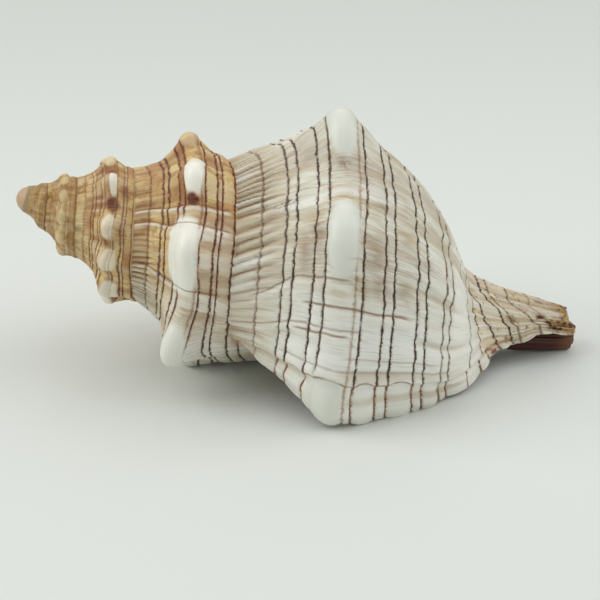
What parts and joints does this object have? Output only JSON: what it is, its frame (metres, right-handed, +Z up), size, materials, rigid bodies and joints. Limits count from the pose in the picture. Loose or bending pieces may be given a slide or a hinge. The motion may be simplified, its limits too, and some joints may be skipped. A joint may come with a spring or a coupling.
{
  "type": "conch shell",
  "caption": "Large knobbed spiral sea shell with a pointed spire, a wide body turn, an open aperture under it and a long canal, lying on its aperture side.",
  "frame": {"origin": "centre of the bounding box's footprint, on the ground that the shell rests on", "axes": "+Z up as it rests on its aperture side; the spire's tip points to -X and the canal to +X, dipping about 14 degrees; the side seen in the picture faces -Y"},
  "size_m": [0.1274, 0.0702, 0.0602],
  "materials": {
    "shell": "satin natural shell"
  },
  "bodies": {
    "root": {"shell": "shell"}
  },
  "joints": []
}
